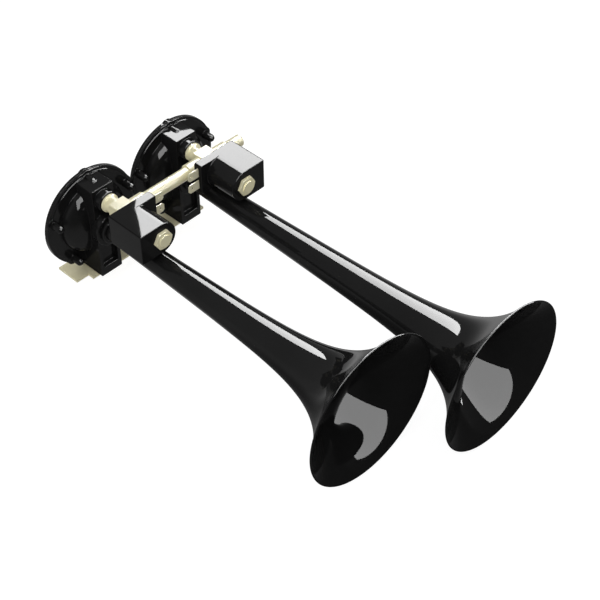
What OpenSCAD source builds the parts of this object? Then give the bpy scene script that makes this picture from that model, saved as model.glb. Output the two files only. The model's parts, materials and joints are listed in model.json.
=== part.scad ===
// Twin-trumpet truck horn: two diaphragm air horns of different length on one base plate.
// A shared air tube feeds both, and each horn has its own solenoid valve beside its throat.
// Frame: X to the right, the bells face -Y, Z up. The origin lies midway between the two
// mounting holes, on the underside of the base plate.

/* [Layout] */
// Distance between the two horn axes
horn_pitch = 85.3; // [80:0.1:100]
// Height of the horn axes above the base plate
foot_drop = 46.8; // [45:0.1:60]
// Joint between housing and cover, behind the mounting holes
joint_back = 1.3; // [0:0.1:3]
// Throat ring to bell rim, short horn
short_len = 266.4; // [200:0.1:300]
// Throat ring to bell rim, long horn
long_len = 310.1; // [240:0.1:360]
// Height of the valve axis above the horn axis
valve_rise = 27.1; // [25.5:0.1:29]

/* [Trumpets] */
// Radius of the bell rim
bell_r = 60; // [50:0.5:70]
// Radius where the trumpet enters the throat ring
throat_r = 8.1; // [7.6:0.1:8.8]
// Growth of radius along the slow cone, per millimetre
cone_rate = 0.029; // [0.024:0.001:0.034]
// Length over which the flare falls off
flare_len = 27.2; // [22:0.1:32]
// Thickness of the trumpet's wall
horn_wall = 1.4; // [1.1:0.1:1.8]
// Radius of the shoulder that stops against the throat ring
shoulder_r = 10.8; // [9.8:0.1:12.5]
// Length of that shoulder
shoulder_len = 3; // [2:0.1:5]
// Length of the moulded bell, from its rim to the joint with the cone
bell_len = 62; // [56:0.5:70]

/* [Diaphragm housing] */
// Radius of the ring of cover screws
screw_ring_r = 37; // [36:0.1:38]
// Rim of the housing outside the screw ring
rim_margin = 5.3; // [5:0.1:6]
// Thickness of the housing's flange
flange_t = 2.5; // [2.2:0.1:3.5]
// Radius of the domed sound chamber, outside
dome_r = 30.3; // [29:0.1:31]
// Height of the dome above the flange
dome_h = 11; // [10:0.1:13]
// Fullness of the dome's shoulder
dome_full = 2.6; // [2.2:0.1:3.5]
// Wall of the dome
dome_wall = 2.8; // [2.2:0.1:3]
// Number of cover screws
screw_n = 5; // [5:1:5]
// Radius of a cover screw
screw_r = 1.9; // [1.6:0.1:2.1]
// Radius of a screw boss
boss_r = 3.3; // [3:0.1:3.6]
// Length of a screw boss in front of the flange
boss_len = 10; // [8:0.1:11]
// Radius of the ears that carry the screws at the rim
ear_r = 6.2; // [6.1:0.1:6.6]
// Width of the upright block and the foot
block_w = 20.6; // [19.6:0.1:22]
// Front of that block, ahead of the cover joint
block_front = 20.2; // [19:0.1:22]
// Radius of the throat ring
ring_r = 14.3; // [13.5:0.1:15]
// Throat ring's length in front of the block
ring_len = 6.2; // [5:0.1:8]
// Radius of the round air inlet boss
inlet_boss_r = 8.8; // [8.4:0.1:9.4]
// Inlet boss in front of the block
inlet_boss_len = 6; // [5:0.1:7]
// Radius of the sound nozzle behind the throat, inside
nozzle_r = 6.2; // [5.6:0.1:6.6]
// Wall of the sound nozzle
nozzle_wall = 2; // [1.6:0.1:2.6]
// Depth of the trumpet's socket, from the throat ring's face
socket_depth = 14.2; // [12:0.1:15]

/* [Rear cover and diaphragm] */
// Thickness of the cover's rim
cover_rim_t = 2.6; // [2.2:0.1:3.4]
// Wall of the cover's pan
cover_wall = 2; // [1.6:0.1:2.4]
// Depth of the cover's pan behind the rim
pan_depth = 5; // [4:0.1:8]
// Thickness of the diaphragm
diaphragm_t = 0.5; // [0.4:0.1:0.7]
// Depth of the diaphragm's corrugation
wave_h = 0.8; // [0.5:0.1:1.2]
// Thickness of the diaphragm's gasket
gasket_t = 0.9; // [0.7:0.1:1.1]

/* [Valves] */
// Half-width of the valve body
body_half = 7.4; // [7.2:0.1:8]
// Length of the valve body along the valve axis
body_len = 15.2; // [14.6:0.1:16.5]
// Radius of the collar at the horn inlet
collar_r = 7.6; // [7.2:0.1:8.2]
// Length of that collar
collar_len = 3; // [2.4:0.1:4]
// Radius of the neck between collar and valve body
neck_r = 6.4; // [6:0.1:6.8]
// Length of that neck
neck_len = 6.3; // [5.5:0.1:8]
// Radius of the spigot in the horn inlet
spigot_r = 5; // [4.6:0.1:5.2]
// Length of that spigot
spigot_len = 8; // [7:0.1:8.4]
// Radius of the outlet passage
outlet_r = 2.5; // [2:0.1:2.8]
// Radius of the valve seat's orifice
orifice_r = 1.2; // [0.8:0.1:1.5]
// Wall of the valve seat's post
seat_wall = 1.2; // [0.9:0.1:1.4]
// Radius of the armature tube
guide_r = 4.9; // [4.7:0.1:5.1]
// Wall of the armature tube
guide_wall = 0.55; // [0.45:0.05:0.6]
// Plunger's travel from the seat to the core
stroke = 1.5; // [1.5:0.1:2]
// Length of the plunger without its seal
plunger_len = 25; // [22:0.5:27]

/* [Coils] */
// Radius of the coil's round side and half its height
coil_r = 13.4; // [12.9:0.1:14.5]
// Coil axis to the coil's flat outer side
coil_side = 20; // [18:0.1:22]
// Coil axis to the end of the terminal plate
plate_side = 19.65; // [19:0.05:21]
// Thickness of the terminal plate
terminal_plate_t = 7.6; // [7:0.1:9]
// Length of the coil in front of the terminal plate
coil_len = 28; // [26:0.1:32]
// Wall around the winding
coil_wall = 2.2; // [1.8:0.1:2.6]
// Width of the coil nut across its flats
nut_af = 14.6; // [14:0.1:17]
// Thickness of the coil nut
nut_t = 2.7; // [2.4:0.1:4]
// Height of the coil nut's closed end in front of its face
nut_cap_h = 0.8; // [0.5:0.1:1.5]
// Height of a terminal blade
blade_h = 7.9; // [6.3:0.1:8.4]
// Thickness of a terminal blade
blade_t = 0.9; // [0.8:0.1:1.2]
// Blade's length outside the terminal plate
blade_out = 10.2; // [8:0.1:12]
// Terminal blades' distance from the coil's middle height
blade_rise = 5.6; // [5.2:0.1:7]

/* [Air tube] */
// Outer radius of the air tube
tube_r = 5; // [4.6:0.1:5.2]
// Wall of the air tube
tube_wall = 1.5; // [1.2:0.1:1.6]
// Outer radius of the tube sockets on the valve bodies
tube_socket_r = 6.4; // [6.2:0.1:6.8]
// Reach of those sockets from the valve axis
tube_socket_reach = 21; // [20:0.1:22]
// Reach of the inlet tube from the long horn's valve axis
inlet_reach = 36; // [32:0.1:50]

/* [Base plate] */
// Thickness of the base plate
plate_t = 2; // [1.8:0.1:3]
// Depth of the base plate, front to back
plate_d = 28.4; // [27:0.1:34]
// Base plate's reach beyond the short horn's axis
plate_left = 15.7; // [15:0.1:18]
// Base plate's reach beyond the long horn's axis
plate_right = 17.5; // [15:0.1:22]
// Width of the ear at the short horn's end
tab_w = 11.6; // [10:0.1:16]
// Depth of that ear
tab_d = 22.4; // [18:0.1:26]
// Distance between the two mounting holes
mount_spacing = 40; // [34:1:44]
// Radius of a mounting hole
mount_hole_r = 4.5; // [3.3:0.1:5.2]
// Radius of a foot screw
foot_screw_r = 2; // [1.7:0.1:2.2]
// Distance between the two screws in one foot
foot_screw_gap = 11; // [10:0.1:12]

/* [Hidden] */

// The two horns: the short one on the left, the long one on the right
SHORT = -1;
LONG = 1;

black = "#141416";
cream = "#ece6cf";
steel = "#b9bcc0";
copper = "#b4683a";
rubber_tone = "#26262a";

$fn = 96;
// Overlap of shapes that are joined or cut
eps = 0.05;
// Small clearance of pieces that slide into each other
fit = 0.1;
// Chamfer of moulded edges
edge = 0.6;

axis_h = plate_t + foot_drop;
flange_r = screw_ring_r + rim_margin;
ring_front = block_front + ring_len;
inlet_front = block_front + inlet_boss_len;
socket_floor = ring_front - socket_depth;
block_top = valve_rise + inlet_boss_r + 2.5;
first_screw = 90;

// The flange's outer rim is a little lower than its face
rim_step = 0.6;
rim_step_w = 2.2;

chamber_r = dome_r - dome_wall;
chamber_h = dome_h - dome_wall;
// Pocket in the housing that takes the gasket and the diaphragm
seal_t = diaphragm_t + gasket_t;
seal_land = 0.9;
seal_r = screw_ring_r - screw_r - seal_land;
gasket_in_r = chamber_r + 0.8;
wave_in_r = nozzle_r + nozzle_wall + 3.5;
wave_out_r = gasket_in_r - 2.5;

// Cover screws
screw_depth = flange_t + boss_len - 2;
head_r = 3.3;
head_h = 2.2;
drive_af = 2.5;
drive_depth = 1.2;

// Foot
recess_w = block_w - 6;
recess_floor = 8;
recess_depth = 4;
recess_top = ring_r + 3.5;
foot_back = 6;
pad_gap = 0.5;
foot_screw_y = joint_back - (flange_t + block_front - recess_depth) / 2;
foot_screw_len = 12;
sink_r = foot_screw_r * 1.8;
sink_depth = min(plate_t - 0.2, foot_screw_r * 0.9);

// Inlet passage from the valve's spigot into the chamber
inlet_floor = inlet_front - spigot_len - 1;
passage_r = 2.2;
passage_y = chamber_r - passage_r - 0.3;
passage_z = flange_t + 1.5;

// Valve stations along the valve axis, ahead of the cover joint
collar_front = inlet_front + collar_len;
body_back = collar_front + neck_len;
body_front = body_back + body_len;
tube_z = body_back + body_len / 2;
chamber_floor = body_back + 3.4;
seat_face = tube_z;
post_r = orifice_r + seat_wall;
valve_chamber_r = guide_r + 0.1;
thread_r = guide_r + 0.6;
thread_len = 5;
seal_step_z = body_front - thread_len;
armature_seal_t = 0.8;
coil_back = body_front;
coil_shoulder = coil_back + terminal_plate_t;
coil_front = coil_shoulder + coil_len;
// The coil nut is closed in front of the stem
nut_floor = coil_front + nut_t - 0.5;
stem_end = nut_floor - 0.2;

// Plunger
plunger_r = guide_r - guide_wall - 0.1;
seal_proud = 0.6;
plunger_seal_r = plunger_r - 1.4;
plunger_seal_t = 2;
plunger_back = seat_face + seal_proud;
plunger_front = plunger_back + plunger_len;
core_face = plunger_front + stroke;
spring_bore_r = 2.5;
spring_bore_len = 8;
spring_r = 1.9;
spring_wire_r = 0.35;
spring_turns = 6;

// Bobbin and winding
pocket_r = coil_r - coil_wall;
bobbin_flange_t = 1.5;
bobbin_tube_r = guide_r + 1.2;
bobbin_front = coil_front - 3;
nut_r = nut_af / sqrt(3);

// Length of a terminal blade inside the plate
blade_in = 5;

// Tube sockets on the valve body
socket_stop = body_half + 1;
tube_stop = socket_stop + 1;
tube_bore_r = tube_r - tube_wall;
// The tubes' ends are a little thinner, so that a shoulder stops at each socket's mouth
plug_r = tube_r - 0.2;

// Trumpet stations
flare_steps = 30;
bore_r = throat_r - horn_wall;

// Places one horn: local z runs forward along the horn axis from the cover joint
module horn_frame(side) {
    translate([side * horn_pitch / 2, joint_back, axis_h])
        rotate([90, 0, 0])
            children();
}

// The same, on the axis of the valve above
module valve_frame(side) {
    horn_frame(side)
        translate([0, valve_rise, 0])
            children();
}

// A shape at each cover screw
module each_screw() {
    for (i = [0 : screw_n - 1])
        rotate([0, 0, first_screw + i * 360 / screw_n])
            translate([screw_ring_r, 0, 0])
                children();
}

// A round hole or rod from one station to another
module rod(r, z0, z1) {
    translate([0, 0, z0])
        cylinder(r = r, h = z1 - z0);
}

// A disc with a chamfered front edge
module bevelled_rod(r, z0, z1, c = edge) {
    translate([0, 0, z0])
        rotate_extrude()
            polygon([[0, 0], [r, 0], [r, z1 - z0 - c], [r - c, z1 - z0], [0, z1 - z0]]);
}

// A flat ring
module washer(r_out, r_in, z0, z1) {
    translate([0, 0, z0])
        rotate_extrude()
            translate([r_in, 0])
                square([r_out - r_in, z1 - z0]);
}

// A rectangle with chamfered corners
module bevelled_rect(x0, x1, y0, y1, c = edge) {
    polygon([
        [x0 + c, y0], [x1 - c, y0], [x1, y0 + c], [x1, y1 - c],
        [x1 - c, y1], [x0 + c, y1], [x0, y1 - c], [x0, y0 + c]
    ]);
}

// Radius of the trumpet at a distance behind its rim: a slow cone and an exponential flare
function flare_gain(len) = bell_r - throat_r - cone_rate * len;
function flare_r(d, len) =
    throat_r + cone_rate * (len - d) + flare_gain(len) * exp(-d / flare_len);
function flare_angle(d, len) =
    atan(cone_rate + flare_gain(len) / flare_len * exp(-d / flare_len));
function station(i, len) = (len - shoulder_len) * pow(i / flare_steps, 1.8);

// Section of a whole trumpet's wall, from its end in the socket to the rolled rim
module trumpet_section(len) {
    rim_a = flare_angle(0, len);
    rim_mid = [
        bell_r - horn_wall / 2 * cos(rim_a),
        ring_front + len + horn_wall / 2 * sin(rim_a)
    ];
    outside = [
        for (i = [flare_steps : -1 : 0])
            let (d = station(i, len)) [flare_r(d, len), ring_front + len - d]
    ];
    rim = [
        for (t = [30 : 30 : 150])
            rim_mid + horn_wall / 2 * [cos(t - rim_a), sin(t - rim_a)]
    ];
    inside = [
        for (i = [0 : flare_steps])
            let (d = station(i, len), a = flare_angle(d, len))
                [
                    flare_r(d, len) - horn_wall * cos(a),
                    ring_front + len - d + horn_wall * sin(a)
                ]
    ];
    polygon(concat(
        [
            [throat_r, socket_floor], [throat_r, ring_front],
            [shoulder_r, ring_front],
            [shoulder_r, ring_front + shoulder_len - edge],
            [shoulder_r - edge, ring_front + shoulder_len]
        ],
        outside, rim, inside, [[bore_r, socket_floor]]
    ));
}

// The slow cone, up to its welded joint with the bell
module trumpet(side) {
    len = side == SHORT ? short_len : long_len;
    color(black)
        horn_frame(side)
            rotate_extrude()
                intersection() {
                    trumpet_section(len);
                    square([bell_r, ring_front + len - bell_len]);
                }
}

// The flared bell in front of that joint
module bell(side) {
    len = side == SHORT ? short_len : long_len;
    color(black)
        horn_frame(side)
            rotate_extrude()
                intersection() {
                    trumpet_section(len);
                    translate([0, ring_front + len - bell_len])
                        square([2 * bell_r, 2 * bell_len]);
                }
}

// Outline of the dome, from its foot to its crown
function dome_curve(r, h) = [
    for (t = [0 : 7.5 : 90])
        [r * pow(cos(t), 2 / dome_full), flange_t + h * pow(sin(t), 2 / dome_full)]
];

module front_housing(side) {
    color(black)
        horn_frame(side)
            difference() {
                union() {
                    housing_flange();
                    rotate_extrude()
                        polygon(concat([[0, 0], [dome_r, 0]], dome_curve(dome_r, dome_h)));
                    each_screw() screw_boss();
                    upright_block();
                    bevelled_rod(ring_r, block_front - edge, ring_front);
                    translate([0, valve_rise, 0])
                        bevelled_rod(inlet_boss_r, 0, inlet_front);
                }
                sound_chamber();
                rod(nozzle_r, -eps, ring_front);
                rod(throat_r + fit, socket_floor, ring_front + eps);
                each_screw() rod(screw_r + fit, -eps, screw_depth + 1);
                inlet_way();
                foot_recess();
                foot_screw_holes();
            }
}

module housing_flange() {
    face_r = flange_r - rim_step_w;
    rotate_extrude()
        polygon([
            [0, 0], [flange_r, 0], [flange_r, flange_t - rim_step - edge / 2],
            [flange_r - edge / 2, flange_t - rim_step], [face_r, flange_t - rim_step],
            [face_r - rim_step / 2, flange_t], [0, flange_t]
        ]);
    each_screw() rod(ear_r, 0, flange_t - rim_step / 2);
}

// Blind boss with a round end
module screw_boss() {
    rod(boss_r, 0, flange_t + boss_len - boss_r);
    translate([0, 0, flange_t + boss_len - boss_r])
        sphere(r = boss_r);
}

// Inlet block above the throat and the foot below it, in one piece
module upright_block() {
    half = block_w / 2;
    translate([0, 0, seal_t])
        linear_extrude(height = block_front - seal_t)
            bevelled_rect(-half, half, -foot_drop, block_top);
    pad_top = -flange_r - pad_gap;
    translate([0, 0, -foot_back])
        linear_extrude(height = foot_back + block_front)
            bevelled_rect(-half, half, -foot_drop, pad_top);
}

// Air chamber around the sound nozzle, and the pocket for gasket and diaphragm
module sound_chamber() {
    nozzle_out_r = nozzle_r + nozzle_wall;
    rotate_extrude()
        intersection() {
            polygon(concat([[0, -eps], [chamber_r, -eps]], dome_curve(chamber_r, chamber_h)));
            translate([nozzle_out_r, -eps])
                square([chamber_r, flange_t + dome_h]);
        }
    rod(seal_r + fit, -eps, diaphragm_t);
    washer(seal_r + fit, nozzle_out_r, diaphragm_t - eps, seal_t);
}

module inlet_way() {
    translate([0, valve_rise, 0])
        rod(spigot_r + fit, inlet_floor, inlet_front + eps);
    translate([0, passage_y, 0])
        rod(passage_r, passage_z, inlet_floor + eps);
}

// Sunk panel in the front of the foot
module foot_recess() {
    half = recess_w / 2;
    translate([0, 0, block_front - recess_depth])
        linear_extrude(height = recess_depth + eps)
            bevelled_rect(-half, half, recess_floor - foot_drop, -recess_top);
}

// Pilot holes for the foot screws, drilled up from under the foot
module foot_screw_holes() {
    for (x = [-0.5, 0.5] * foot_screw_gap)
        translate([x, -foot_drop - eps, joint_back - foot_screw_y])
            rotate([-90, 0, 0])
                cylinder(r = foot_screw_r + fit, h = foot_screw_len - plate_t + 1);
}

module rear_cover(side) {
    pan_r = chamber_r + 2 * cover_wall;
    pan_z = cover_rim_t + pan_depth;
    hub_r = 7;
    color(black)
        horn_frame(side)
            mirror([0, 0, 1])
                difference() {
                    union() {
                        rotate_extrude()
                            polygon([
                                [0, 0], [flange_r, 0], [flange_r, cover_rim_t - edge],
                                [flange_r - edge, cover_rim_t], [pan_r, cover_rim_t],
                                [pan_r - 1.5, pan_z - 2], [pan_r - 3.5, pan_z],
                                [hub_r + 1, pan_z], [hub_r, pan_z + 1], [0, pan_z + 1]
                            ]);
                        each_screw() rod(ear_r, 0, cover_rim_t);
                    }
                    rotate_extrude()
                        polygon([
                            [0, -eps], [gasket_in_r, -eps], [gasket_in_r, cover_rim_t],
                            [pan_r - 3.5 - cover_wall / 2, pan_z - cover_wall],
                            [0, pan_z - cover_wall]
                        ]);
                    each_screw() rod(screw_r + fit, -eps, cover_rim_t + eps);
                    // Breather hole low in the pan
                    translate([0, -pan_r / 2, 0])
                        rod(1.2, 0, pan_z + eps);
                }
}

module cover_screws(side) {
    color(steel)
        horn_frame(side)
            each_screw()
                difference() {
                    union() {
                        rod(screw_r, -cover_rim_t - eps, screw_depth);
                        mirror([0, 0, 1])
                            bevelled_rod(head_r, cover_rim_t, cover_rim_t + head_h, 0.8);
                    }
                    translate([0, 0, -cover_rim_t - head_h - eps])
                        cylinder(r = drive_af / sqrt(3), h = drive_depth + eps, $fn = 6);
                }
}

// Thin disc with one round corrugation
module diaphragm(side) {
    steps = 14;
    span = wave_out_r - wave_in_r;
    wave = [
        for (i = [0 : steps])
            [wave_in_r + span * i / steps, -wave_h * pow(sin(180 * i / steps), 2)]
    ];
    back = concat([[0, 0]], wave, [[seal_r, 0]]);
    front = [for (i = [len(back) - 1 : -1 : 0]) back[i] + [0, diaphragm_t]];
    color(steel)
        horn_frame(side)
            rotate_extrude()
                polygon(concat(back, front));
}

module gasket(side) {
    color(rubber_tone)
        horn_frame(side)
            washer(seal_r, gasket_in_r, diaphragm_t, seal_t);
}

module valve_body(side) {
    arms = side == SHORT ? [1] : [-1, 1];
    color(cream)
        valve_frame(side)
            difference() {
                union() {
                    difference() {
                        valve_outside(arms);
                        valve_chamber(arms);
                    }
                    rod(post_r, body_back + edge, seat_face);
                }
                rod(orifice_r, body_back - edge, seat_face + eps);
                rod(outlet_r, inlet_front - spigot_len - eps, body_back - eps);
            }
}

module valve_outside(arms) {
    groove_r = spigot_r - 1.2;
    groove_z = inlet_front - spigot_len / 2;
    translate([0, 0, body_back])
        linear_extrude(height = body_len)
            bevelled_rect(-body_half, body_half, -body_half, body_half);
    // Neck, collar and grooved spigot, turned about the valve axis
    rotate_extrude()
        polygon([
            [0, body_back + eps], [neck_r, body_back + eps], [neck_r, collar_front + 0.8],
            [collar_r - 1, collar_front], [collar_r, collar_front - 1],
            [collar_r, inlet_front + edge], [collar_r - edge, inlet_front],
            [spigot_r, inlet_front], [spigot_r, groove_z + 0.8], [groove_r, groove_z + 0.8],
            [groove_r, groove_z - 0.8], [spigot_r, groove_z - 0.8],
            [spigot_r, inlet_front - spigot_len + edge / 2],
            [spigot_r - edge / 2, inlet_front - spigot_len], [0, inlet_front - spigot_len]
        ]);
    for (s = arms)
        translate([0, 0, tube_z])
            rotate([0, 90 * s, 0])
                bevelled_rod(tube_socket_r, 0, tube_socket_reach);
}

module valve_chamber(arms) {
    rod(valve_chamber_r, chamber_floor, body_front + eps);
    rod(thread_r + fit, seal_step_z - armature_seal_t, body_front + eps);
    for (s = arms)
        translate([0, 0, tube_z])
            rotate([0, 90 * s, 0]) {
                rod(tube_bore_r, 0, tube_socket_reach);
                rod(plug_r + fit, socket_stop, tube_socket_reach + eps);
            }
}

module inlet_seal(side) {
    section_r = 0.6;
    color(rubber_tone)
        valve_frame(side)
            translate([0, 0, inlet_front - spigot_len / 2])
                rotate_extrude()
                    translate([spigot_r + fit - section_r, 0])
                        circle(r = section_r, $fn = 24);
}

// Armature tube screwed into the valve body, closed by its fixed core and ending in a stem
module armature_tube(side) {
    color(steel)
        valve_frame(side)
            difference() {
                union() {
                    rod(thread_r, seal_step_z, body_front);
                    bevelled_rod(guide_r, seal_step_z, stem_end, edge);
                }
                rod(guide_r - guide_wall, seal_step_z - eps, core_face);
            }
}

module armature_seal(side) {
    color(rubber_tone)
        valve_frame(side)
            washer(thread_r, valve_chamber_r + 0.1, seal_step_z - armature_seal_t, seal_step_z);
}

module plunger(side) {
    slot_w = 1.2;
    slot_depth = 0.8;
    color(steel)
        valve_frame(side)
            difference() {
                rod(plunger_r, plunger_back, plunger_front);
                rod(plunger_seal_r, plunger_back - eps, plunger_back + plunger_seal_t - seal_proud);
                rod(spring_bore_r, plunger_front - spring_bore_len, plunger_front + eps);
                // Grooves that let air past the plunger
                for (s = [-1, 1])
                    translate([s * plunger_r - slot_depth, -slot_w / 2, plunger_back - eps])
                        cube([2 * slot_depth, slot_w, plunger_len + 2 * eps]);
            }
}

module plunger_seal(side) {
    color(rubber_tone)
        valve_frame(side)
            rod(plunger_seal_r, seat_face, seat_face + plunger_seal_t);
}

// Helical spring between the plunger and the fixed core
module plunger_spring(side) {
    sides = 8;
    per_turn = 16;
    rings = spring_turns * per_turn;
    z0 = plunger_front - spring_bore_len + spring_wire_r;
    rise = core_face - spring_wire_r - z0;
    points = [
        for (i = [0 : rings], j = [0 : sides - 1])
            let (
                a = 360 * i / per_turn,
                t = 360 * j / sides,
                r = spring_r + spring_wire_r * cos(t)
            )
                [r * cos(a), r * sin(a), z0 + rise * i / rings + spring_wire_r * sin(t)]
    ];
    walls = [
        for (i = [0 : rings - 1], j = [0 : sides - 1])
            let (k = (j + 1) % sides)
                [i * sides + j, (i + 1) * sides + j, (i + 1) * sides + k, i * sides + k]
    ];
    first = [for (j = [0 : sides - 1]) j];
    last = [for (j = [sides - 1 : -1 : 0]) rings * sides + j];
    color(steel)
        valve_frame(side)
            polyhedron(points = points, faces = concat(walls, [first, last]));
}

// Moulded case with a terminal plate at the back: its round side faces the other horn
module coil_case(side) {
    color(black)
        valve_frame(side)
            mirror([side == LONG ? 1 : 0, 0, 0])
                difference() {
                    union() {
                        translate([0, 0, coil_back])
                            linear_extrude(height = terminal_plate_t)
                                bevelled_rect(-coil_side, plate_side, -coil_r, coil_r);
                        translate([0, 0, coil_shoulder - eps])
                            linear_extrude(height = coil_len + eps)
                                coil_outline();
                    }
                    rod(pocket_r, coil_back - eps, bobbin_front);
                    rod(guide_r + fit, bobbin_front - eps, coil_front + eps);
                    blade_places() blade_slot();
                }
}

module coil_outline() {
    polygon([
        [0, -coil_r], [0, coil_r], [edge - coil_side, coil_r], [-coil_side, coil_r - edge],
        [-coil_side, edge - coil_r], [edge - coil_side, -coil_r]
    ]);
    circle(r = coil_r);
}

module coil_bobbin(side) {
    color(rubber_tone)
        valve_frame(side)
            rotate_extrude()
                polygon([
                    [guide_r + fit, coil_back], [pocket_r - fit, coil_back],
                    [pocket_r - fit, coil_back + bobbin_flange_t],
                    [bobbin_tube_r, coil_back + bobbin_flange_t],
                    [bobbin_tube_r, bobbin_front - bobbin_flange_t],
                    [pocket_r - fit, bobbin_front - bobbin_flange_t],
                    [pocket_r - fit, bobbin_front], [guide_r + fit, bobbin_front]
                ]);
}

module coil_winding(side) {
    color(copper)
        valve_frame(side)
            washer(
                pocket_r - 0.6, bobbin_tube_r + fit,
                coil_back + bobbin_flange_t, bobbin_front - bobbin_flange_t
            );
}

// A shape at each of the coil's two terminal blades
module blade_places() {
    for (y = [-1, 1] * blade_rise)
        translate([plate_side, y, coil_back + terminal_plate_t / 2])
            children();
}

module blade_slot() {
    translate([-blade_in - fit, -blade_h / 2 - fit, -blade_t / 2 - fit])
        cube([blade_in + fit + eps, blade_h + 2 * fit, blade_t + 2 * fit]);
}

module terminals(side) {
    corner = 1.6;
    hole_r = 0.95;
    hole_back = 3.6;
    color(cream)
        valve_frame(side)
            mirror([side == LONG ? 1 : 0, 0, 0])
                blade_places()
                    difference() {
                        translate([0, 0, -blade_t / 2])
                            linear_extrude(height = blade_t)
                                bevelled_rect(
                                    -blade_in, blade_out, -blade_h / 2, blade_h / 2, corner
                                );
                        translate([blade_out - hole_back, 0, -blade_t])
                            cylinder(r = hole_r, h = 2 * blade_t);
                    }
}

module coil_nut(side) {
    color(cream)
        valve_frame(side)
            difference() {
                union() {
                    bevelled_rod(guide_r, nut_floor, coil_front + nut_t + nut_cap_h, edge / 2);
                    nut_body();
                }
                rod(guide_r + fit, coil_front - eps, nut_floor);
            }
}

module nut_body() {
    intersection() {
        translate([0, 0, coil_front])
            cylinder(r = nut_r, h = nut_t, $fn = 6);
        // The nut's turned face rounds its six corners off
        translate([0, 0, coil_front])
            rotate_extrude()
                polygon([
                    [0, 0], [nut_r + eps, 0], [nut_r + eps, nut_t - 0.9],
                    [nut_af / 2 - 0.3, nut_t], [0, nut_t]
                ]);
    }
}

// A shape on the tubes' common axis: local z runs along +X from the middle of the part
module tube_frame() {
    translate([0, joint_back - tube_z, axis_h + valve_rise])
        rotate([0, 90, 0])
            children();
}

module manifold_tube() {
    c = 0.5;
    end = horn_pitch / 2 - tube_stop;
    mouth = horn_pitch / 2 - tube_socket_reach;
    color(cream)
        tube_frame()
            rotate_extrude()
                polygon([
                    [tube_bore_r, -end], [plug_r - c, -end], [plug_r, c - end],
                    [plug_r, -mouth], [tube_r, -mouth], [tube_r, mouth], [plug_r, mouth],
                    [plug_r, end - c], [plug_r - c, end], [tube_bore_r, end]
                ]);
}

// Its free end takes the air hose
module inlet_tube() {
    c = 0.5;
    mouth = horn_pitch / 2 + tube_socket_reach;
    start = horn_pitch / 2 + tube_stop;
    end = horn_pitch / 2 + inlet_reach;
    color(cream)
        tube_frame()
            rotate_extrude()
                polygon([
                    [tube_bore_r, start], [plug_r - c, start], [plug_r, start + c],
                    [plug_r, mouth], [tube_r, mouth], [tube_r, end - c],
                    [tube_r - c, end], [tube_bore_r, end]
                ]);
}

// One flat seal at the bottom of each tube socket
module tube_seals() {
    half = horn_pitch / 2;
    color(rubber_tone)
        tube_frame()
            for (x = [socket_stop - half, half - tube_stop, half + socket_stop])
                washer(plug_r, tube_bore_r + 0.2, x, x + tube_stop - socket_stop);
}

module base_plate() {
    left = -horn_pitch / 2 - plate_left;
    right = horn_pitch / 2 + plate_right;
    back = plate_d / 2;
    color(cream)
        difference() {
            linear_extrude(height = plate_t)
                polygon([
                    [left - tab_w, back], [left - tab_w, back - tab_d], [left, back - tab_d],
                    [left, -back], [right, -back], [right, back]
                ]);
            for (x = [-0.5, 0.5] * mount_spacing)
                translate([x, 0, -eps])
                    cylinder(r = mount_hole_r, h = plate_t + 2 * eps);
            foot_screw_places() {
                translate([0, 0, -eps])
                    cylinder(r = foot_screw_r + fit, h = plate_t + 2 * eps);
                translate([0, 0, -eps])
                    cylinder(
                        r1 = sink_r + fit, r2 = foot_screw_r + fit, h = sink_depth + fit
                    );
            }
        }
}

module foot_screw_places() {
    for (side = [SHORT, LONG], x = [-0.5, 0.5] * foot_screw_gap)
        translate([side * horn_pitch / 2 + x, foot_screw_y, 0])
            children();
}

// Countersunk screws, flush with the underside of the plate
module foot_screws() {
    color(steel)
        foot_screw_places()
            difference() {
                union() {
                    cylinder(r = foot_screw_r, h = foot_screw_len);
                    cylinder(r1 = sink_r, r2 = foot_screw_r, h = sink_depth);
                }
                translate([0, 0, -eps])
                    cylinder(r = drive_af / sqrt(3), h = drive_depth + eps, $fn = 6);
            }
}

base_plate();
foot_screws();
manifold_tube();
inlet_tube();
tube_seals();

front_housing(SHORT);  // short_front_housing
rear_cover(SHORT);  // short_rear_cover
cover_screws(SHORT);  // short_cover_screws
diaphragm(SHORT);  // short_diaphragm
gasket(SHORT);  // short_gasket
trumpet(SHORT);  // short_trumpet
bell(SHORT);  // short_bell
valve_body(SHORT);  // short_valve_body
inlet_seal(SHORT);  // short_inlet_seal
armature_tube(SHORT);  // short_armature_tube
armature_seal(SHORT);  // short_armature_seal
plunger(SHORT);  // short_plunger
plunger_seal(SHORT);  // short_plunger_seal
plunger_spring(SHORT);  // short_plunger_spring
coil_case(SHORT);  // short_coil_case
coil_bobbin(SHORT);  // short_coil_bobbin
coil_winding(SHORT);  // short_coil_winding
terminals(SHORT);  // short_terminals
coil_nut(SHORT);  // short_coil_nut

front_housing(LONG);  // long_front_housing
rear_cover(LONG);  // long_rear_cover
cover_screws(LONG);  // long_cover_screws
diaphragm(LONG);  // long_diaphragm
gasket(LONG);  // long_gasket
trumpet(LONG);  // long_trumpet
bell(LONG);  // long_bell
valve_body(LONG);  // long_valve_body
inlet_seal(LONG);  // long_inlet_seal
armature_tube(LONG);  // long_armature_tube
armature_seal(LONG);  // long_armature_seal
plunger(LONG);  // long_plunger
plunger_seal(LONG);  // long_plunger_seal
plunger_spring(LONG);  // long_plunger_spring
coil_case(LONG);  // long_coil_case
coil_bobbin(LONG);  // long_coil_bobbin
coil_winding(LONG);  // long_coil_winding
terminals(LONG);  // long_terminals
coil_nut(LONG);  // long_coil_nut
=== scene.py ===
import json
import math

import bmesh
import bpy
from mathutils import Matrix, Vector


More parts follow.
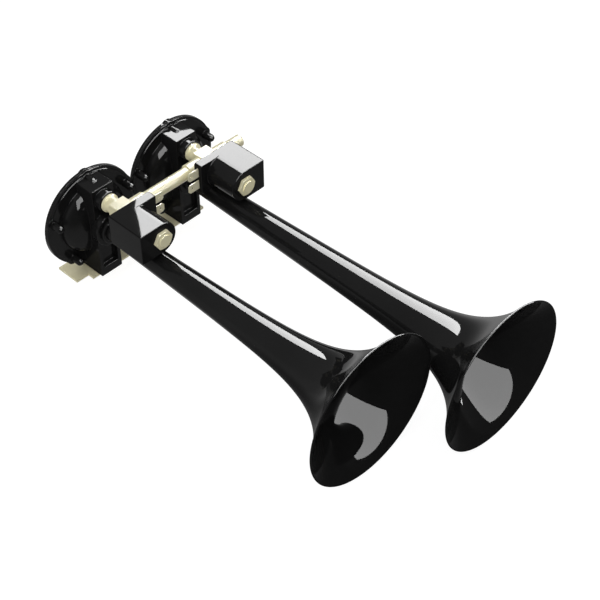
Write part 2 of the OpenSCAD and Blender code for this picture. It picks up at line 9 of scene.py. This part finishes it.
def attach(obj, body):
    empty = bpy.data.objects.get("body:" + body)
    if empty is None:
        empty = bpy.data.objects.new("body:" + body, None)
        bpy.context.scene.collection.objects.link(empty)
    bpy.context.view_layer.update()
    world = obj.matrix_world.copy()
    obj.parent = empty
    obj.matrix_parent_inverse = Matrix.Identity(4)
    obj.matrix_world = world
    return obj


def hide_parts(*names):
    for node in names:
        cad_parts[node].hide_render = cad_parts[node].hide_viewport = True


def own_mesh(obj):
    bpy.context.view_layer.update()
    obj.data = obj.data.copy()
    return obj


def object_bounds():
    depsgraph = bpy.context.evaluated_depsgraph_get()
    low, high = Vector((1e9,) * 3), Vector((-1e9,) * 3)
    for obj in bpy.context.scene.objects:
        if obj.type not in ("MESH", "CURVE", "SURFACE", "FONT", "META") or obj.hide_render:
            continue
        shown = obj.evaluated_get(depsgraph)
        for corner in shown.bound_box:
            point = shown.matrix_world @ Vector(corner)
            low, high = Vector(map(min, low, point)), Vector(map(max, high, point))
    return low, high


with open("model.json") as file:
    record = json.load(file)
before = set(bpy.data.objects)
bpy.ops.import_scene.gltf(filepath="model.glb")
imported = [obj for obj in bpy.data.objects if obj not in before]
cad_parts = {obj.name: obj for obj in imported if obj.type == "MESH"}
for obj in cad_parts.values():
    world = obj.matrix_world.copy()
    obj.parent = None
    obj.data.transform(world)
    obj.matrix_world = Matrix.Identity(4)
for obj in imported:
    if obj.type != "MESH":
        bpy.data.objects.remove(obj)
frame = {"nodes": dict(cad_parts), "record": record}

MM = 0.001
cad_lo, cad_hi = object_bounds()
nodes = frame["nodes"]

# Camera, fitted to the photograph
right = Vector((0.69502675, -0.7189802, -0.00229799))
up = Vector((0.50131641, 0.48231859, 0.71836664))
back = Vector((-0.51538303, -0.50043605, 0.6956609))
place = Vector((-543.015, -710.941, 783.246)) * MM
camera = bpy.data.objects.new("camera", bpy.data.cameras.new("camera"))
bpy.context.scene.collection.objects.link(camera)
camera.data.sensor_width = 36
camera.data.lens = 87.266
camera.data.clip_start = 0.05
camera.data.clip_end = 50
camera.matrix_world = Matrix((
    (right.x, up.x, back.x, place.x),
    (right.y, up.y, back.y, place.y),
    (right.z, up.z, back.z, place.z),
    (0, 0, 0, 1),
))
bpy.context.scene.camera = camera
bpy.context.scene.view_settings.view_transform = "Standard"


# Materials

class Nodes:
    """A material's node tree, with short names for the steps that every material here uses."""

    def __init__(self, name):
        self.mat = bpy.data.materials.new(name)
        self.mat.use_nodes = True
        self.tree = self.mat.node_tree
        self.tree.nodes.clear()
        self.out = self.add("ShaderNodeOutputMaterial")
        self.coords = self.add("ShaderNodeTexCoord").outputs["Object"]

    def add(self, kind, **values):
        node = self.tree.nodes.new(kind)
        for key, value in values.items():
            setattr(node, key, value)
        return node

    def link(self, a, b):
        self.tree.links.new(a, b)

    def noise(self, scale, detail=2.0, rough=0.5, stretch=None):
        node = self.add("ShaderNodeTexNoise")
        node.inputs["Scale"].default_value = scale
        node.inputs["Detail"].default_value = detail
        node.inputs["Roughness"].default_value = rough
        if stretch:
            mapping = self.add("ShaderNodeMapping")
            mapping.inputs["Scale"].default_value = stretch
            self.link(self.coords, mapping.inputs["Vector"])
            self.link(mapping.outputs["Vector"], node.inputs["Vector"])
        else:
            self.link(self.coords, node.inputs["Vector"])
        return node.outputs["Fac"]

    def spread(self, fac, low, high, lo=0.0, hi=1.0):
        node = self.add("ShaderNodeMapRange")
        node.inputs["From Min"].default_value = low
        node.inputs["From Max"].default_value = high
        node.inputs["To Min"].default_value = lo
        node.inputs["To Max"].default_value = hi
        self.link(fac, node.inputs["Value"])
        return node.outputs["Result"]

    def blend(self, fac, a, b):
        node = self.add("ShaderNodeMix", data_type="RGBA")
        self.link(fac, node.inputs["Factor"])
        for socket, value in ((node.inputs[6], a), (node.inputs[7], b)):
            if hasattr(value, "node"):
                self.link(value, socket)
            else:
                socket.default_value = (*value, 1)
        return node.outputs[2]

    def bump(self, height, distance, strength):
        node = self.add("ShaderNodeBump")
        node.inputs["Distance"].default_value = distance
        node.inputs["Strength"].default_value = strength
        self.link(height, node.inputs["Height"])
        return node.outputs["Normal"]

    def shader(self, color, roughness, normal=None, **values):
        node = self.add("ShaderNodeBsdfPrincipled")
        for name, value in (("Base Color", color), ("Roughness", roughness), ("Normal", normal)):
            if value is None:
                continue
            if hasattr(value, "node"):
                self.link(value, node.inputs[name])
            else:
                node.inputs[name].default_value = (*value, 1) if name == "Base Color" else value
        for name, value in values.items():
            node.inputs[name.replace("_", " ")].default_value = value
        self.link(node.outputs["BSDF"], self.out.inputs["Surface"])
        return node


# The black gloss: how far the surface is turned away, and its refractive index there, less 1.
# It reflects a share of what an index of 1.5 gives, because the white studio is far brighter than
# the surroundings that the photographed gloss mirrors.
GLOSS = (
    (0, 0.1679), (0.1, 0.1664), (0.2, 0.1598), (0.3, 0.146), (0.4, 0.12), (0.5, 0.0851),
    (0.6, 0.0816), (0.7, 0.0986), (0.8, 0.1002), (0.9, 0.0717), (1.0, 0.0001),
)


def gloss_index(m, normal):
    """An index of refraction that falls towards grazing angles."""
    facing = m.add("ShaderNodeLayerWeight")
    facing.inputs["Blend"].default_value = 0.5
    m.link(normal, facing.inputs["Normal"])
    ramp = m.add("ShaderNodeValToRGB")
    stops = ramp.color_ramp.elements
    while len(stops) < len(GLOSS):
        stops.new(0.5)
    for stop, (turned_away, value) in zip(stops, GLOSS):
        stop.position = turned_away
        stop.color = (value, value, value, 1)
    m.link(facing.outputs["Facing"], ramp.inputs["Fac"])
    one = m.add("ShaderNodeMath", operation="ADD")
    one.inputs[1].default_value = 1.0
    m.link(ramp.outputs["Color"], one.inputs[0])
    return one.outputs[0]


def black_moulding():
    m = Nodes("black_moulding_gloss")
    patches = m.spread(m.noise(26, 3, 0.55), 0.3, 0.7)
    color = m.blend(patches, (0.0098, 0.0098, 0.0099), (0.0122, 0.0122, 0.0123))
    rough = m.spread(m.noise(70, 4, 0.6), 0.35, 0.7, 0.02, 0.045)
    skin = m.bump(m.noise(330, 2, 0.45), 0.00001, 0.02)
    plastic = m.shader(color, rough, skin)
    m.link(gloss_index(m, skin), plastic.inputs["IOR"])
    return m.mat


def cream_moulding():
    m = Nodes("cream_moulding_gloss")
    patches = m.spread(m.noise(40, 4, 0.6), 0.3, 0.7)
    color = m.blend(patches, (0.80, 0.745, 0.49), (0.84, 0.79, 0.545))
    rough = m.spread(m.noise(90, 3, 0.6), 0.3, 0.7, 0.2, 0.3)
    skin = m.bump(m.noise(600, 3, 0.5), 0.00003, 0.25)
    m.shader(color, rough, skin, Specular_IOR_Level=0.1)
    return m.mat


def cream_plate():
    m = Nodes("cream_plate_paint")
    patches = m.spread(m.noise(30, 4, 0.6), 0.3, 0.7)
    color = m.blend(patches, (0.80, 0.745, 0.49), (0.84, 0.79, 0.545))
    rough = m.spread(m.noise(120, 3, 0.6), 0.3, 0.7, 0.22, 0.34)
    peel = m.bump(m.noise(420, 2, 0.5), 0.00006, 0.3)
    m.shader(color, rough, peel, Specular_IOR_Level=0.1)
    return m.mat


def cream_blade():
    m = Nodes("cream_blade_coat")
    patches = m.spread(m.noise(80, 4, 0.6), 0.3, 0.7)
    color = m.blend(patches, (0.81, 0.76, 0.53), (0.85, 0.81, 0.6))
    rough = m.spread(m.noise(200, 3, 0.6), 0.3, 0.7, 0.18, 0.28)
    grain = m.bump(m.noise(500, 3, 0.5, (1, 1, 14)), 0.00003, 0.3)
    m.shader(color, rough, grain, Specular_IOR_Level=0.1)
    return m.mat


def bright_steel():
    m = Nodes("bright_steel_zinc")
    patches = m.spread(m.noise(60, 4, 0.6), 0.3, 0.7)
    color = m.blend(patches, (0.56, 0.57, 0.585), (0.66, 0.67, 0.68))
    rough = m.spread(m.noise(240, 4, 0.6), 0.3, 0.7, 0.24, 0.38)
    grain = m.bump(m.noise(900, 4, 0.6), 0.00002, 0.3)
    m.shader(color, rough, grain, Metallic=1.0)
    return m.mat


def seal_rubber():
    m = Nodes("seal_rubber_matt")
    color = m.blend(m.spread(m.noise(120, 4, 0.6), 0.3, 0.7), (0.018, 0.018, 0.019), (0.028, 0.028, 0.029))
    rough = m.spread(m.noise(300, 3, 0.6), 0.3, 0.7, 0.6, 0.8)
    grain = m.bump(m.noise(1500, 3, 0.6), 0.00004, 0.4)
    m.shader(color, rough, grain, Specular_IOR_Level=0.3)
    return m.mat


def bobbin_moulding():
    m = Nodes("bobbin_moulding_matt")
    color = m.blend(m.spread(m.noise(90, 3, 0.5), 0.3, 0.7), (0.035, 0.035, 0.04), (0.05, 0.05, 0.055))
    rough = m.spread(m.noise(260, 3, 0.5), 0.3, 0.7, 0.4, 0.55)
    grain = m.bump(m.noise(1100, 3, 0.6), 0.00003, 0.35)
    m.shader(color, rough, grain, Specular_IOR_Level=0.3)
    return m.mat


def copper_wire():
    m = Nodes("copper_wire_enamel")
    wave = m.add("ShaderNodeTexWave", wave_type="BANDS", bands_direction="Y")
    wave.inputs["Scale"].default_value = 700
    wave.inputs["Distortion"].default_value = 0.4
    m.link(m.coords, wave.inputs["Vector"])
    # Painted shade: the copper is darker in the bands where the bump dips between the wire's turns, and
    # brighter on their crowns
    color = m.blend(wave.outputs["Fac"], (0.3, 0.1, 0.04), (0.62, 0.28, 0.13))
    rough = m.spread(m.noise(300, 3, 0.5), 0.3, 0.7, 0.25, 0.4)
    turns = m.bump(wave.outputs["Fac"], 0.0001, 0.6)
    m.shader(color, rough, turns, Metallic=1.0)
    return m.mat


finish = {
    "black_moulding": black_moulding(),
    "cream_moulding": cream_moulding(),
    "cream_plate": cream_plate(),
    "cream_blade": cream_blade(),
    "bright_steel": bright_steel(),
    "seal_rubber": seal_rubber(),
    "bobbin_moulding": bobbin_moulding(),
    "copper_wire": copper_wire(),
}
slot_of = {part["node"]: part["material_slot"] for part in frame["record"]["subparts"]}


# Rounded edges on the CAD's own pieces

FLAT_ANGLE = 0.4
BEVEL_ANGLE = 32
BEVEL_SEGMENTS = 2
FLAT_WEIGHT = 60
# Width of the rounded edges in millimetres
EDGES = {
    "front_housing": 0.28, "rear_cover": 0.3, "coil_case": 0.6, "valve_body": 0.25,
    "coil_nut": 0.35, "terminals": 0.15, "cover_screws": 0.15,
}
PLATE_EDGE = 0.25
# Pieces whose small edges don't hold back the width of the large ones
UNCLAMPED = ("front_housing", "coil_case")


def refined(node, width, clamp=True):
    """A copy of a CAD node, with rounded edges where it has a width, which stands for the node."""
    mesh = nodes[node].data.copy()
    bm = bmesh.new()
    bm.from_mesh(mesh)
    bmesh.ops.remove_doubles(bm, verts=bm.verts, dist=1e-6)
    bmesh.ops.dissolve_limit(
        bm, angle_limit=math.radians(FLAT_ANGLE), verts=bm.verts, edges=bm.edges, delimit=set()
    )
    for face in bm.faces:
        face.smooth = True
    bm.to_mesh(mesh)
    bm.free()
    piece = bpy.data.objects.new(node + "_visual", mesh)
    bpy.context.scene.collection.objects.link(piece)
    mesh.materials.clear()
    mesh.materials.append(finish[slot_of[node]])
    if width:
        bevel = piece.modifiers.new("bevel", "BEVEL")
        bevel.width = width * MM
        bevel.segments = BEVEL_SEGMENTS
        bevel.limit_method = "ANGLE"
        bevel.angle_limit = math.radians(BEVEL_ANGLE)
        bevel.miter_outer = "MITER_ARC"
        bevel.use_clamp_overlap = clamp
    flat = piece.modifiers.new("flat", "WEIGHTED_NORMAL")
    flat.mode = "FACE_AREA"
    flat.weight = FLAT_WEIGHT
    flat.keep_sharp = True
    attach(piece, "horn")
    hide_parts(node)
    return piece


# Trumpets: one smooth revolved wall each, sizes in millimetres

PITCH = 85.3
AXIS_H = 48.8
JOINT = 1.3
SHORT_LENGTH = 266.4
LONG_LENGTH = 310.1
BELL_R = 60
THROAT_R = 8.1
CONE = 0.029
FLARE = 27.2
WALL = 1.4
RING_FRONT = 26.4
SOCKET_FLOOR = 12.2
SHOULDER_R = 10.8
SHOULDER = 3
WALL_STEPS = 100
AROUND = 192
SHARP_ANGLE = 40


def trumpet_profile(length):
    """Radius and station of the wall's outline: outside, rolled rim, inside."""
    gain = BELL_R - THROAT_R - CONE * length

    def radius(d):
        return THROAT_R + CONE * (length - d) + gain * math.exp(-d / FLARE)

    def tilt(d):
        return math.atan(CONE + gain / FLARE * math.exp(-d / FLARE))

    stations = [(length - SHOULDER) * (i / WALL_STEPS) ** 1.6 for i in range(WALL_STEPS + 1)]
    end = RING_FRONT + length
    out = [
        (THROAT_R, SOCKET_FLOOR), (THROAT_R, RING_FRONT), (SHOULDER_R - 0.25, RING_FRONT),
        (SHOULDER_R, RING_FRONT + 0.25), (SHOULDER_R, RING_FRONT + SHOULDER - 0.6),
        (SHOULDER_R - 0.2, RING_FRONT + SHOULDER - 0.2), (SHOULDER_R - 0.6, RING_FRONT + SHOULDER),
    ]
    for d in reversed(stations):
        out.append((radius(d), end - d))
    a = tilt(0)
    mid = (BELL_R - WALL / 2 * math.cos(a), end + WALL / 2 * math.sin(a))
    for i in range(1, 12):
        t = math.radians(15 * i)
        out.append((mid[0] + WALL / 2 * math.cos(t - a), mid[1] + WALL / 2 * math.sin(t - a)))
    for d in stations:
        out.append((radius(d) - WALL * math.cos(tilt(d)), end - d + WALL * math.sin(tilt(d))))
    out.append((THROAT_R - WALL, SOCKET_FLOOR))
    return out


def revolved(name, profile, x, z):
    """A closed profile turned about an axis along -Y through (x, z), in millimetres."""
    bm = bmesh.new()
    rings = []
    for i in range(AROUND):
        a = 2 * math.pi * i / AROUND
        rings.append([
            bm.verts.new((
                (x + r * math.cos(a)) * MM, (JOINT - s) * MM, (z + r * math.sin(a)) * MM
            ))
            for r, s in profile
        ])
    count = len(profile)
    for i in range(AROUND):
        here, there = rings[i], rings[(i + 1) % AROUND]
        for j in range(count):
            k = (j + 1) % count
            face = bm.faces.new((here[j], there[j], there[k], here[k]))
            face.smooth = True
    bmesh.ops.recalc_face_normals(bm, faces=bm.faces)
    mesh = bpy.data.meshes.new(name)
    bm.to_mesh(mesh)
    bm.free()
    piece = bpy.data.objects.new(name, mesh)
    bpy.context.scene.collection.objects.link(piece)
    mesh.set_sharp_from_angle(angle=math.radians(SHARP_ANGLE))
    return piece


for side, x, length in (("short", -PITCH / 2, SHORT_LENGTH), ("long", PITCH / 2, LONG_LENGTH)):
    horn = revolved(side + "_trumpet_visual", trumpet_profile(length), x, AXIS_H)
    horn.data.materials.append(finish["black_moulding"])
    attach(horn, "horn")
    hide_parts(side + "_trumpet", side + "_bell")
    for part, edge in EDGES.items():
        refined(side + "_" + part, edge, clamp=part not in UNCLAMPED)
    # The spring gets a mesh of its own; in the real horn it shortens by the plunger's stroke, towards the
    # fixed core in front of it
    spring = refined(side + "_plunger_spring", 0)
    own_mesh(spring)
refined("base_plate", PLATE_EDGE)

for name, node in nodes.items():
    node.data.materials.clear()
    node.data.materials.append(finish[slot_of[name]])


# Floor, world and lamps

def shown_white(tree, lit, white):
    """Mixes a shader for the lamps' light with the plain white that the eye and reflections see."""
    path = tree.nodes.new("ShaderNodeLightPath")
    seen = tree.nodes.new("ShaderNodeMath")
    seen.operation = "MAXIMUM"
    tree.links.new(path.outputs["Is Camera Ray"], seen.inputs[0])
    tree.links.new(path.outputs["Is Glossy Ray"], seen.inputs[1])
    both = tree.nodes.new("ShaderNodeMath")
    both.operation = "MAXIMUM"
    tree.links.new(seen.outputs[0], both.inputs[0])
    tree.links.new(path.outputs["Is Transmission Ray"], both.inputs[1])
    mix = tree.nodes.new("ShaderNodeMixShader")
    tree.links.new(both.outputs[0], mix.inputs[0])
    tree.links.new(lit, mix.inputs[1])
    tree.links.new(white, mix.inputs[2])
    return mix.outputs[0]


floor_mesh = bpy.data.meshes.new("floor")
bm = bmesh.new()
bmesh.ops.create_circle(bm, cap_ends=True, segments=96, radius=6)
bm.to_mesh(floor_mesh)
bm.free()
floor = bpy.data.objects.new("floor", floor_mesh)
bpy.context.scene.collection.objects.link(floor)
floor.location.z = cad_lo.z - 0.0004
mat = bpy.data.materials.new("studio_floor")
mat.use_nodes = True
tree = mat.node_tree
tree.nodes.clear()
out = tree.nodes.new("ShaderNodeOutputMaterial")
diffuse = tree.nodes.new("ShaderNodeBsdfDiffuse")
diffuse.inputs["Color"].default_value = (0.8, 0.8, 0.79, 1)
glow = tree.nodes.new("ShaderNodeEmission")
glow.inputs["Strength"].default_value = 0.9
paper = tree.nodes.new("ShaderNodeBsdfDiffuse")
paper.inputs["Color"].default_value = (0.3, 0.3, 0.3, 1)
both = tree.nodes.new("ShaderNodeAddShader")
tree.links.new(glow.outputs[0], both.inputs[0])
tree.links.new(paper.outputs[0], both.inputs[1])
tree.links.new(shown_white(tree, diffuse.outputs[0], both.outputs[0]), out.inputs["Surface"])
floor_mesh.materials.append(mat)

world = bpy.data.worlds.new("studio")
bpy.context.scene.world = world
world.use_nodes = True
tree = world.node_tree
tree.nodes.clear()
out = tree.nodes.new("ShaderNodeOutputWorld")
dim = tree.nodes.new("ShaderNodeBackground")
dim.inputs["Color"].default_value = (1, 1, 1, 1)
dim.inputs["Strength"].default_value = 0.5
plain = tree.nodes.new("ShaderNodeBackground")
plain.inputs["Color"].default_value = (1, 1, 1, 1)
plain.inputs["Strength"].default_value = 1.0
tree.links.new(shown_white(tree, dim.outputs[0], plain.outputs[0]), out.inputs["Surface"])


def lamp(name, centre, normal, across, size, radiance, glossy, diffuse):
    """A rectangular soft lamp that shines along its normal. Sizes in metres."""
    light = bpy.data.lights.new(name, "AREA")
    light.shape = "RECTANGLE"
    light.size, light.size_y = size
    light.energy = radiance * math.pi * size[0] * size[1]
    obj = bpy.data.objects.new(name, light)
    bpy.context.scene.collection.objects.link(obj)
    z = -Vector(normal).normalized()
    x = (Vector(across) - Vector(across).dot(z) * z).normalized()
    y = z.cross(x)
    obj.matrix_world = Matrix((
        (x.x, y.x, z.x, centre[0]), (x.y, y.y, z.y, centre[1]), (x.z, y.z, z.z, centre[2]),
        (0, 0, 0, 1),
    ))
    obj.visible_camera = False
    obj.visible_glossy = glossy
    obj.visible_diffuse = diffuse
    return obj


def card(name, centre, along, across, half, radiance):
    """A flat glowing card that only reflections see. Sizes in metres."""
    c, a, b = Vector(centre), Vector(along) * half[0], Vector(across) * half[1]
    mesh = bpy.data.meshes.new(name)
    mesh.from_pydata([c - a - b, c + a - b, c + a + b, c - a + b], [], [(0, 1, 2, 3)])
    obj = bpy.data.objects.new(name, mesh)
    bpy.context.scene.collection.objects.link(obj)
    m = Nodes(name)
    glow = m.add("ShaderNodeEmission")
    glow.inputs["Strength"].default_value = radiance
    m.link(glow.outputs[0], m.out.inputs["Surface"])
    mesh.materials.append(m.mat)
    obj.visible_camera = False
    obj.visible_diffuse = False
    obj.visible_transmission = False
    obj.visible_shadow = False
    return obj


def shade(name, towards, centre, radius, most, glow):
    """A dark half-dome with its floor that only reflections see. It fades out to the white studio
    away from one direction."""
    bm = bmesh.new()
    bmesh.ops.create_uvsphere(bm, u_segments=64, v_segments=32, radius=radius)
    cut = bmesh.ops.bisect_plane(
        bm, geom=bm.verts[:] + bm.edges[:] + bm.faces[:], plane_co=(0, 0, cad_lo.z - 0.0002),
        plane_no=(0, 0, -1), clear_outer=True
    )
    rim = [e for e in cut["geom_cut"] if isinstance(e, bmesh.types.BMEdge)]
    bmesh.ops.edgeloop_fill(bm, edges=rim)
    mesh = bpy.data.meshes.new(name)
    bm.to_mesh(mesh)
    bm.free()
    obj = bpy.data.objects.new(name, mesh)
    bpy.context.scene.collection.objects.link(obj)
    m = Nodes(name)
    offset = m.add("ShaderNodeVectorMath", operation="SUBTRACT")
    offset.inputs[1].default_value = centre
    m.link(m.coords, offset.inputs[0])
    unit = m.add("ShaderNodeVectorMath", operation="NORMALIZE")
    m.link(offset.outputs["Vector"], unit.inputs[0])
    along = m.add("ShaderNodeVectorMath", operation="DOT_PRODUCT")
    along.inputs[1].default_value = Vector(towards).normalized()
    m.link(unit.outputs["Vector"], along.inputs[0])
    fade = m.add("ShaderNodeMapRange", interpolation_type="SMOOTHSTEP")
    fade.inputs["From Min"].default_value = -0.15
    fade.inputs["From Max"].default_value = 0.85
    fade.inputs["To Max"].default_value = most
    m.link(along.outputs["Value"], fade.inputs["Value"])
    clear = m.add("ShaderNodeBsdfTransparent")
    dark = m.add("ShaderNodeEmission")
    dark.inputs["Strength"].default_value = glow
    mix = m.add("ShaderNodeMixShader")
    m.link(fade.outputs["Result"], mix.inputs[0])
    m.link(clear.outputs[0], mix.inputs[1])
    m.link(dark.outputs[0], mix.inputs[2])
    m.link(mix.outputs[0], m.out.inputs["Surface"])
    mesh.materials.append(m.mat)
    obj.visible_camera = False
    obj.visible_diffuse = False
    obj.visible_transmission = False
    obj.visible_shadow = False
    return obj


# The dark side of the studio, in front of the bells
shade("dark_front", (-0.15, -0.93, -0.33), (0, -0.12, 0.05), 4.0, 0.87, 0.03)

# The two softboxes that the black mouldings mirror
card("softbox_right", (1.1886, 0.1695, 4.8186), (-0.7638, 0.6445, 0.0351), (0.1286, 0.0987, 0.9868),
     (0.6468, 4.7166), 79)
lamp("softbox_front", (0.086, -0.570, 0.331), (-0.078, 0.395, -0.915), (0.996, 0.069, -0.055),
     (0.780, 0.978), 32.7, True, False)
# Plain soft light for the pale mouldings
lamp("soft_top", (-0.8, -0.15, 1.45), (0.8, 0.1, -1.4), (1, 0, 0), (1.2, 1.2), 1.6, False, True)
